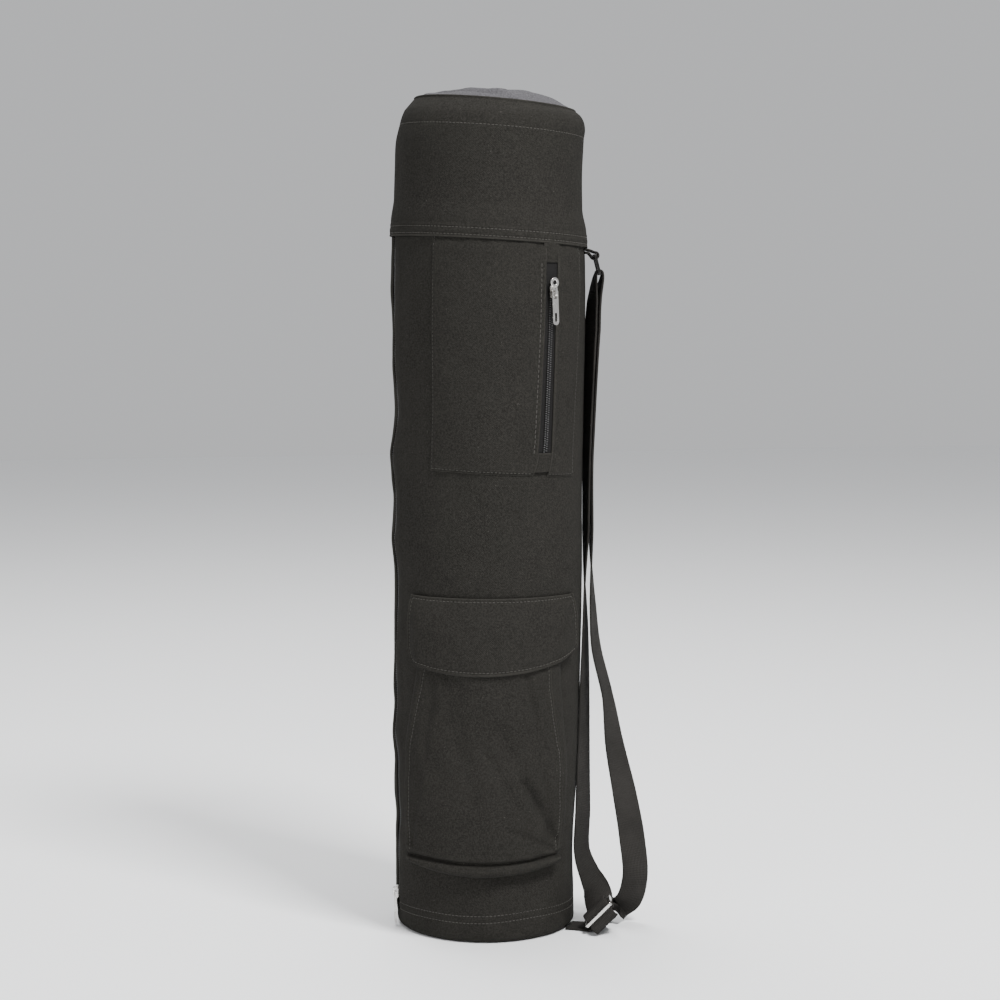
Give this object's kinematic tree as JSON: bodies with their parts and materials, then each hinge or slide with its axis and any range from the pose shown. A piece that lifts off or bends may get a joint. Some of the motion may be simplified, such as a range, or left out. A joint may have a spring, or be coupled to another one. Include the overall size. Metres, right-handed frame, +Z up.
{
  "type": "yoga mat bag",
  "caption": "Tall upright canvas tube bag for a rolled exercise mat, with a full side zip, a zip pocket, a flapped cargo pocket and an adjustable shoulder strap.",
  "frame": {"origin": "on the floor at the middle of the flat bottom disc, on the bag's axis", "axes": "+Z up the bag, the pockets' front faces -Y, the main zip is on the -X side and the strap on the +X side"},
  "size_m": [0.2197, 0.1773, 0.723],
  "materials": {
    "canvas": "charcoal-black canvas, plain weave, matt",
    "disc_canvas": "charcoal canvas, paler on top",
    "webbing": "black 25 mm webbing, ribbed, matt",
    "zip_tape": "black woven zip tape",
    "zip_coil": "black coil, satin",
    "nickel": "bright nickel plate",
    "black_metal": "blackened metal, satin"
  },
  "bodies": {
    "root": {"top_disc": "disc_canvas", "top_band": "canvas", "body_panel": "canvas", "bottom_disc": "canvas", "main_zip_rear_tape": "zip_tape", "main_zip_front_tape": "zip_tape", "main_zip_chain": "zip_coil", "main_zip_slider": "nickel", "zip_pocket_left_panel": "canvas", "zip_pocket_right_panel": "canvas", "zip_pocket_top_tab": "canvas", "zip_pocket_foot_tab": "canvas", "zip_pocket_tape": "zip_tape", "zip_pocket_chain": "zip_coil", "zip_pocket_slider": "nickel", "cargo_pocket": "canvas", "cargo_flap": "canvas", "strap_top_tab": "webbing", "strap_ring": "black_metal", "strap_slider": "nickel", "strap_webbing": "webbing"},
    "main_pull": {"main_zip_pull": "nickel"},
    "pocket_pull": {"zip_pocket_pull": "nickel"}
  },
  "joints": [
    {"name": "main_pull_hinge", "type": "hinge", "parent": "root", "child": "main_pull", "pos_m": [-0.08209, 0, 0.03], "axis": [0, 1, 0], "range_deg": [0, 165]},
    {"name": "pocket_pull_hinge", "type": "hinge", "parent": "root", "child": "pocket_pull", "pos_m": [0.04062, -0.08043, 0.552], "axis": [-0.8917, -0.4505, -0.0436], "range_deg": [0, 165]}
  ]
}
